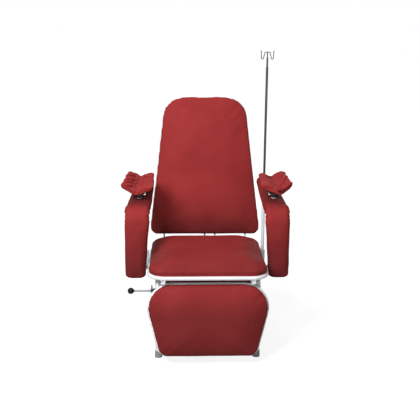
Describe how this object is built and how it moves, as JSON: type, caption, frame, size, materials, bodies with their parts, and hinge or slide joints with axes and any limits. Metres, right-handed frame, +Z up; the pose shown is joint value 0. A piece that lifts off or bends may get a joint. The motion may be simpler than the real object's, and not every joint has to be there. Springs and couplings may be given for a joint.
{
  "type": "phlebotomy chair",
  "caption": "Padded blood-draw chair on a bent white tube frame, with reclining back, coupled leg rest, adjustable arms with arm troughs, release lever and drip pole.",
  "frame": {"origin": "on the floor, under the middle of the bounding box", "axes": "+Z up, -Y the front that the sitter faces, +X to the right for someone who looks at the chair from the front"},
  "size_m": [0.8144, 0.771, 1.3978],
  "materials": {
    "frame_white": "gloss",
    "vinyl_red": "satin",
    "zinc": "satin",
    "chrome": "polished",
    "black_plastic": "satin",
    "black_metal": "satin",
    "grey_rubber": "matte",
    "board": "upholstered"
  },
  "bodies": {
    "base": {"side_frame_left": "frame_white", "side_frame_right": "frame_white", "cross_tubes": "frame_white", "foot_caps": "grey_rubber", "seat_frame": "frame_white", "seat_bolts": "zinc", "seat_board": "board", "seat_cushion": "vinyl_red", "front_apron": "vinyl_red", "leg_hinge_bolts": "zinc", "back_hinge_bolts": "zinc", "gas_cylinder": "black_metal", "gas_cylinder_bolt": "zinc", "lever_bracket": "black_metal", "lever_pin": "zinc", "pole_tube": "frame_white", "pole_collar": "black_plastic"},
    "backrest": {"back_frame": "frame_white", "back_board": "board", "back_cushion": "vinyl_red", "rod_rear_bolt": "zinc"},
    "leg_rest": {"leg_frame": "frame_white", "leg_board": "board", "leg_cushion": "vinyl_red", "rod_front_bolt": "zinc"},
    "push_rod": {"push_rod": "frame_white"},
    "gas_rod": {"gas_rod": "chrome"},
    "lever": {"release_lever": "zinc", "lever_knob": "black_plastic"},
    "pole": {"pole": "chrome"},
    "hooks": {"pole_hooks": "chrome"},
    "pole_knob": {"pole_knob": "black_plastic"},
    "arm_left": {"arm_frame_left": "frame_white", "arm_pad_left": "vinyl_red"},
    "arm_knob_left": {"arm_knob_left": "black_plastic"},
    "swivel_left": {"trough_post_left": "black_metal"},
    "trough_left": {"trough_cradle_left": "black_metal", "trough_pad_left": "vinyl_red"},
    "trough_knob_left": {"trough_knob_left": "chrome"},
    "arm_right": {"arm_frame_right": "frame_white", "arm_pad_right": "vinyl_red"},
    "arm_knob_right": {"arm_knob_right": "black_plastic"},
    "swivel_right": {"trough_post_right": "black_metal"},
    "trough_right": {"trough_cradle_right": "black_metal", "trough_pad_right": "vinyl_red"},
    "trough_knob_right": {"trough_knob_right": "chrome"}
  },
  "joints": [
    {"name": "back_recline", "type": "hinge", "parent": "base", "child": "backrest", "pos_m": [0, 0.221, 0.43], "axis": [-1, 0, 0], "range_deg": [0, 60]},
    {"name": "leg_lift", "type": "hinge", "parent": "base", "child": "leg_rest", "pos_m": [0, -0.304, 0.392], "axis": [-1, 0, 0], "range_deg": [0, 60]},
    {"name": "push_rod_swing", "type": "hinge", "parent": "backrest", "child": "push_rod", "pos_m": [0, 0.256, 0.36938], "axis": [-1, 0, 0], "range_deg": [-60, 0]},
    {"name": "gas_rod_slide", "type": "slide", "parent": "base", "child": "gas_rod", "axis": [0, -1, 0], "range_m": [0, 0.0542]},
    {"name": "lever_press", "type": "hinge", "parent": "base", "child": "lever", "pos_m": [-0.262, -0.255, 0.335], "axis": [0, -1, 0], "range_deg": [0, 18], "stiffness_Nm_per_rad": 1.2, "springref_deg": -8.59},
    {"name": "pole_lift", "type": "slide", "parent": "base", "child": "pole", "axis": [0, 0, 1], "range_m": [0, 0.3]},
    {"name": "hook_swivel", "type": "hinge", "parent": "pole", "child": "hooks", "pos_m": [0.301, 0.236, 1.39], "axis": [0, 0, 1], "continuous": true},
    {"name": "pole_knob_turn", "type": "hinge", "parent": "base", "child": "pole_knob", "pos_m": [0.301, 0.256, 0.754], "axis": [0, 1, 0], "continuous": true},
    {"name": "arm_height_left", "type": "slide", "parent": "base", "child": "arm_left", "axis": [0, 0, 1], "range_m": [0, 0.06]},
    {"name": "arm_knob_turn_left", "type": "hinge", "parent": "base", "child": "arm_knob_left", "pos_m": [-0.335, -0.066, 0.44], "axis": [0, 1, 0], "continuous": true},
    {"name": "trough_swivel_left", "type": "hinge", "parent": "arm_left", "child": "swivel_left", "pos_m": [-0.32189, -0.029, 0.70115], "axis": [0, -0.2504, 0.9681], "range_deg": [-45, 45]},
    {"name": "trough_tilt_left", "type": "hinge", "parent": "swivel_left", "child": "trough_left", "pos_m": [-0.32189, -0.04027, 0.74472], "axis": [1, 0, 0], "range_deg": [-10, 15]},
    {"name": "trough_knob_turn_left", "type": "hinge", "parent": "trough_left", "child": "trough_knob_left", "pos_m": [-0.32189, -0.04027, 0.74472], "axis": [1, 0, 0], "continuous": true},
    {"name": "arm_height_right", "type": "slide", "parent": "base", "child": "arm_right", "axis": [0, 0, 1], "range_m": [0, 0.06]},
    {"name": "arm_knob_turn_right", "type": "hinge", "parent": "base", "child": "arm_knob_right", "pos_m": [0.335, -0.066, 0.44], "axis": [0, 1, 0], "continuous": true},
    {"name": "trough_swivel_right", "type": "hinge", "parent": "arm_right", "child": "swivel_right", "pos_m": [0.32189, -0.029, 0.70115], "axis": [0, -0.2504, 0.9681], "range_deg": [-45, 45]},
    {"name": "trough_tilt_right", "type": "hinge", "parent": "swivel_right", "child": "trough_right", "pos_m": [0.32189, -0.04027, 0.74472], "axis": [1, 0, 0], "range_deg": [-10, 15]},
    {"name": "trough_knob_turn_right", "type": "hinge", "parent": "trough_right", "child": "trough_knob_right", "pos_m": [0.32189, -0.04027, 0.74472], "axis": [1, 0, 0], "continuous": true}
  ],
  "couplings": [
    {"joint": "leg_lift", "follows": "back_recline", "ratio": 1},
    {"joint": "push_rod_swing", "follows": "back_recline", "ratio": -1},
    {"joint": "gas_rod_slide", "follows": "back_recline", "m_per_rad": 0.05172}
  ]
}
